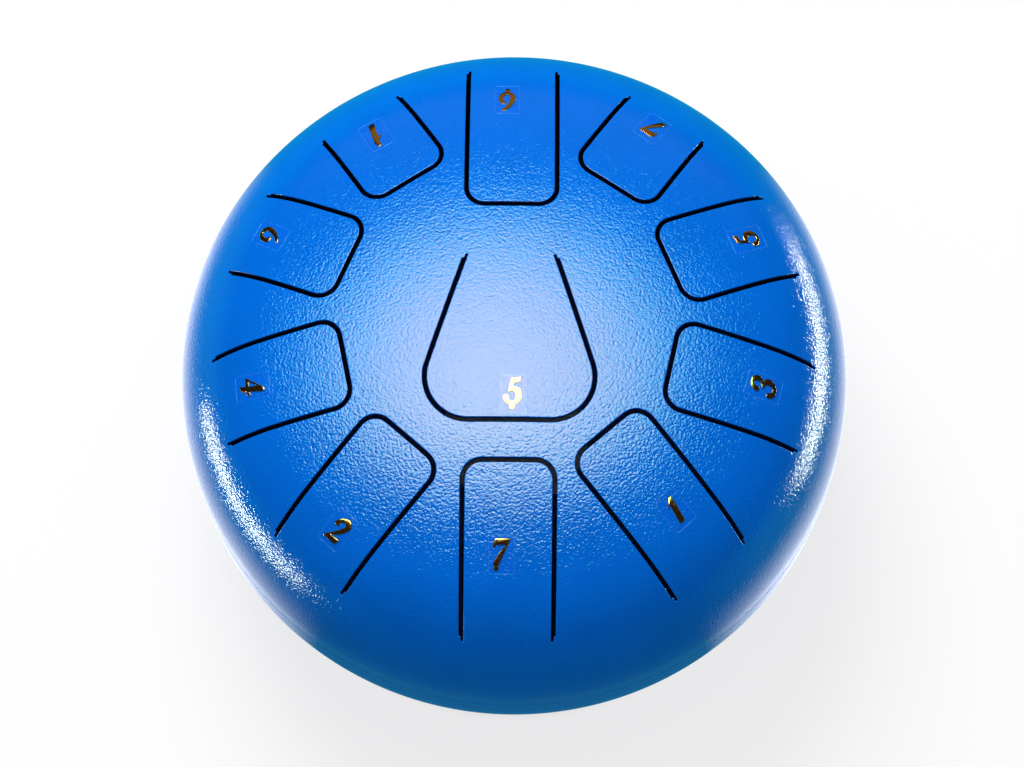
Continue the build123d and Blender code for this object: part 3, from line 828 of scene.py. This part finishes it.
# Note digits
# Raised figures stamped from gold-plated foil and stuck on the films, with the octave dot beside them;
# their faces are polished flat and their upper edges, rounded by the die, stay satin.
DIGIT_EDGE, DIGIT_ROWS = 0.0003, 3
FACE_UP, SIDE_UP = 0.9, 0.4
DIGIT_FLAT, DIGIT_SHARP = math.radians(4), math.radians(38)
golds = []
for name, smoothest, roughest in (("polished_gold", 0.07, 0.16), ("satin_gold", 0.32, 0.45)):
    made, tree, shader, place = new_material(name, Metallic=1.0)
    feed(tree, shader,
         Base_Color=mixed(tree, spotted(tree, place, 350.0), (0.78, 0.50, 0.13, 1), (0.90, 0.63, 0.22, 1)),
         Roughness=spotted(tree, place, 800.0, smoothest, roughest))
    golds.append(made)
for name in LABELS:
    facing = Vector(label_frame(name)[3])
    shape = bmesh.new()
    shape.from_mesh(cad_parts["digit_" + name].data)
    bmesh.ops.remove_doubles(shape, verts=shape.verts, dist=1e-6)
    bmesh.ops.dissolve_limit(shape, angle_limit=DIGIT_FLAT, verts=shape.verts, edges=shape.edges)
    shape.normal_update()
    upper = [edge for edge in shape.edges if len(edge.link_faces) == 2
             and max(face.normal.dot(facing) for face in edge.link_faces) > FACE_UP
             and abs(min(face.normal.dot(facing) for face in edge.link_faces)) < SIDE_UP]
    for face in shape.faces:
        face.material_index = 0
    bmesh.ops.bevel(shape, geom=upper, offset=DIGIT_EDGE, offset_type="OFFSET", segments=DIGIT_ROWS,
                    profile=0.5, affect="EDGES", clamp_overlap=True, material=1)
    mesh = bpy.data.meshes.new("gold_digit_" + name)
    shape.to_mesh(mesh)
    shape.free()
    mesh.polygons.foreach_set("use_smooth", [True] * len(mesh.polygons))
    mesh.set_sharp_from_angle(angle=DIGIT_SHARP)
    mesh.materials.clear()
    for gold in golds:
        mesh.materials.append(gold)
    digit = place_piece("gold_digit_" + name, mesh)
    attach(digit, "tongue_" + name)
    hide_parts("digit_" + name)


# Studio
# A white table in a dim room. A wide soft lamp, bright in its middle and cool at its edge, hangs over the
# drum, and a soft key light comes from behind on the left. Two strip lamps and slate-blue cards lie round
# the drum for reflections.
bpy.context.scene.view_settings.view_transform = "Standard"
world = bpy.data.worlds.new("pale_surround")
bpy.context.scene.world = world
world.use_nodes = True
tree = world.node_tree
FILL = 0.35


def in_sight(tree):
    """One for rays from the camera, off gloss and through clear pieces, and nothing for those that light."""
    rays = tree.nodes.new("ShaderNodeLightPath")
    seen = figure(tree, "MAXIMUM", rays.outputs["Is Camera Ray"], rays.outputs["Is Glossy Ray"])
    return figure(tree, "MAXIMUM", seen, rays.outputs["Is Transmission Ray"])


glow = ranged(tree, in_sight(tree), 0.0, 1.0, FILL, 1.0)
tree.links.new(glow, tree.nodes["Background"].inputs["Strength"])
tree.nodes["Background"].inputs["Color"].default_value = (1, 1, 1, 1)


def stage_material(name):
    """Empty material for a stage piece; returns it with its tree and coordinates."""
    made = bpy.data.materials.new(name)
    made.use_nodes = True
    made.node_tree.nodes.clear()
    return made, made.node_tree, made.node_tree.nodes.new("ShaderNodeTexCoord").outputs["Object"]


table_white, tree, place = stage_material("white_table")
away = vector(tree, "LENGTH", {0: place})
# the table's glow fades out under the drum: painted shade where the sound hole and slits look down on it
glow_beyond_painted_shade = ranged(tree, away.outputs["Value"], 0.075, 0.115, 0.0, 0.75)
glowing = figure(tree, "MULTIPLY", in_sight(tree), glow_beyond_painted_shade)
paper = add_node(tree, "ShaderNodeBsdfDiffuse", {"Color": (0.3, 0.3, 0.3, 1)})
glow = add_node(tree, "ShaderNodeEmission", {"Strength": glowing})
both = add_node(tree, "ShaderNodeAddShader", {0: paper.outputs["BSDF"], 1: glow.outputs["Emission"]})
under = tree.nodes.new("ShaderNodeNewGeometry")
clear = tree.nodes.new("ShaderNodeBsdfTransparent")
one_way = add_node(tree, "ShaderNodeMixShader", {
    0: under.outputs["Backfacing"], 1: both.outputs["Shader"], 2: clear.outputs["BSDF"]})
add_node(tree, "ShaderNodeOutputMaterial", {"Surface": one_way.outputs["Shader"]})
TABLE_HALF = 6.0
table_mesh = bpy.data.meshes.new("table")
table_corners = [(x * TABLE_HALF, y * TABLE_HALF, 0) for x, y in ((-1, -1), (1, -1), (1, 1), (-1, 1))]
table_mesh.from_pydata(table_corners, [], [(0, 1, 2, 3)])
table_mesh.materials.append(table_white)
table = place_piece("table", table_mesh)

STAGE_TURNS = np.linspace(0, 2 * math.pi, 96, endpoint=False)


def ring(middle, across, along):
    """Points round a circle or an ellipse, from its middle and two half axes."""
    return [Vector(middle) + Vector(across) * math.cos(a) + Vector(along) * math.sin(a) for a in STAGE_TURNS]


def reflected_only(name, rings, material):
    """Stage piece through rings of points, which shows in reflections alone."""
    count = len(STAGE_TURNS)
    points = [point for row in rings for point in row]
    sides = [(row * count + i, row * count + (i + 1) % count)
             for row in range(len(rings) - 1) for i in range(count)]
    faces = [(a, b, b + count, a + count) for a, b in sides]
    mesh = bpy.data.meshes.new(name)
    mesh.from_pydata(points, [], faces)
    mesh.materials.append(material)
    made = place_piece(name, mesh)
    made.visible_camera = False
    made.visible_diffuse = False
    made.visible_shadow = False
    made.visible_transmission = False
    return made


def split_way(tree, place):
    """Direction of a place from the middle of the table, split in three."""
    way = vector(tree, "NORMALIZE", {0: place})
    return add_node(tree, "ShaderNodeSeparateXYZ", {"Vector": way.outputs["Vector"]})


def shine(tree, colour, strength=1.0):
    """Ends a stage material in light of a colour."""
    light = add_node(tree, "ShaderNodeEmission", {"Color": colour, "Strength": strength})
    add_node(tree, "ShaderNodeOutputMaterial", {"Surface": light.outputs["Emission"]})


room_dim, tree, place = stage_material("dim_room")
split = split_way(tree, place)
behind = ranged(tree, split.outputs["Y"], 0.62, 0.82)
low = ranged(tree, split.outputs["Z"], 0.65, 0.5)
raised = ranged(tree, split.outputs["Z"], 0.15, 0.3)
band = figure(tree, "MULTIPLY", low, raised)
wall_light = figure(tree, "MULTIPLY", behind, band)
shine(tree, mixed(tree, wall_light, (0.020, 0.013, 0.007, 1), (0.22, 0.14, 0.05, 1)))
ROOM, ROOM_ROWS, ROOM_TOP = 9.0, 14, math.pi / 2 - 0.001
room_rings = []
for rise in np.linspace(0, ROOM_TOP, ROOM_ROWS):
    wide = ROOM * math.cos(rise)
    room_rings.append(ring((0, 0, ROOM * math.sin(rise)), (wide, 0, 0), (0, wide, 0)))
room = reflected_only("room", room_rings, room_dim)


def leaning(right, back):
    """Direction from straight up, leaning to the right and to the back by angles in degrees."""
    return Vector((math.tan(math.radians(right)), math.tan(math.radians(back)), 1)).normalized()


LAMP_DISTANCE, LAMP_REACH, LAMP_FADE, LAMP_STRENGTH = 6.0, (35.0, 28.0), 40.0, 15.9
LAMP_RINGS = (0.001, 0.5, 0.72, 1.0)
DRUM_MIDDLE = Vector((0, 0, 0.15))
lamp_way, core_way = leaning(-3.0, 14.0), leaning(-4.0, 5.5)
lamp_middle = DRUM_MIDDLE + lamp_way * LAMP_DISTANCE
lamp_core = DRUM_MIDDLE + core_way * LAMP_DISTANCE / core_way.dot(lamp_way)
lamp_across = (Vector((1, 0, 0)) - lamp_way * lamp_way.x).normalized()
lamp_along = lamp_way.cross(lamp_across)
wide, high = (LAMP_DISTANCE * math.tan(math.radians(reach)) for reach in LAMP_REACH)
lamp_face, tree, place = stage_material("soft_lamp")
apart = vector(tree, "DISTANCE", {0: place, 1: lamp_core})
share = figure(tree, "DIVIDE", apart.outputs["Value"], LAMP_DISTANCE * math.tan(math.radians(LAMP_FADE)))
fade = add_node(tree, "ShaderNodeValToRGB", {"Fac": share})
stops = fade.color_ramp.elements
stops[0].color, stops[1].color = (1.0, 0.55, 0.32, 1), (0.12, 0.23, 0.20, 1)
for position, colour in ((0.21, (0.95, 0.53, 0.31, 1)), (0.41, (0.74, 0.44, 0.275, 1)),
                         (0.56, (0.46, 0.36, 0.24, 1)), (0.72, (0.19, 0.29, 0.22, 1))):
    stops.new(position).color = colour
border = add_node(tree, "ShaderNodeAttribute", attribute_name="border")
near_edge = ranged(tree, border.outputs["Fac"], 0.68, 0.95)
shine(tree, mixed(tree, near_edge, fade.outputs["Color"], (0.45, 1, 1, 1), "MULTIPLY"), LAMP_STRENGTH)
lamp_rings = [ring(lamp_middle, lamp_across * wide * k, lamp_along * high * k) for k in LAMP_RINGS]
lamp = reflected_only("overhead_lamp", lamp_rings, lamp_face)
out_to_edge = lamp.data.attributes.new("border", "FLOAT", "POINT")
out_to_edge.data.foreach_set("value", np.repeat(LAMP_RINGS, len(STAGE_TURNS)))

card_slate, tree, place = stage_material("slate_cards")
apart = vector(tree, "LENGTH", {0: place})
split = split_way(tree, place)
sideways = figure(tree, "ABSOLUTE", split.outputs["X"])
behind = ranged(tree, split.outputs["Y"], -0.5, 0.5)
slate = mixed(tree, behind, (0.02, 0.20, 0.34, 1), (0.01, 0.38, 0.58, 1))
off = ranged(tree, apart.outputs["Value"], 0.20, 0.30)
table_side = mixed(tree, off, (1.4, 1.5, 1.8, 1), (0.07, 0.6, 0.85, 1))
beside = ranged(tree, sideways, 0.66, 0.9)
shine(tree, mixed(tree, beside, slate, table_side))
CARD_INNER, CARD_HEIGHT = 0.11, 0.0005
card_rings = [ring((0, 0, CARD_HEIGHT), (r, 0, 0), (0, r, 0)) for r in (CARD_INNER, ROOM)]
cards = reflected_only("cards", card_rings, card_slate)


def add_lamp(name, shape, size, radiance, colour, spot, aim):
    """Soft lamp of a given size, radiance and colour, which doesn't show itself."""
    lamp = bpy.data.lights.new(name, "AREA")
    lamp.color = colour
    lamp.shape = shape
    lamp.size, lamp.size_y = size
    area = size[0] * size[1] * (math.pi / 4 if shape == "ELLIPSE" else 1)
    lamp.energy = radiance * math.pi * area
    made = bpy.data.objects.new(name, lamp)
    bpy.context.collection.objects.link(made)
    made.location = spot
    made.rotation_mode = "QUATERNION"
    made.rotation_quaternion = (Vector(aim) - Vector(spot)).to_track_quat("-Z", "Y")
    made.visible_camera = False
    return made


KEY_DISTANCE, STRIP_HEIGHT = 1.6, 0.002
WHITE, WARM = (1, 1, 1), (1.0, 0.80, 0.62)
key_spot = DRUM_MIDDLE + leaning(-13.0, 31.0) * KEY_DISTANCE
key = add_lamp("key_light", "ELLIPSE", (1.0, 1.0), 7.6, WHITE, key_spot, DRUM_MIDDLE)
key.visible_glossy = False
for name, size, radiance, x, y in (("left_strip", (0.09, 0.36), 34.0, -0.43, -0.17),
                                   ("right_strip", (0.15, 0.50), 40.0, 0.57, 0.14)):
    strip = add_lamp(name, "RECTANGLE", size, radiance, WARM, (x, y, STRIP_HEIGHT), (x, y, 1))
    strip.visible_diffuse = False
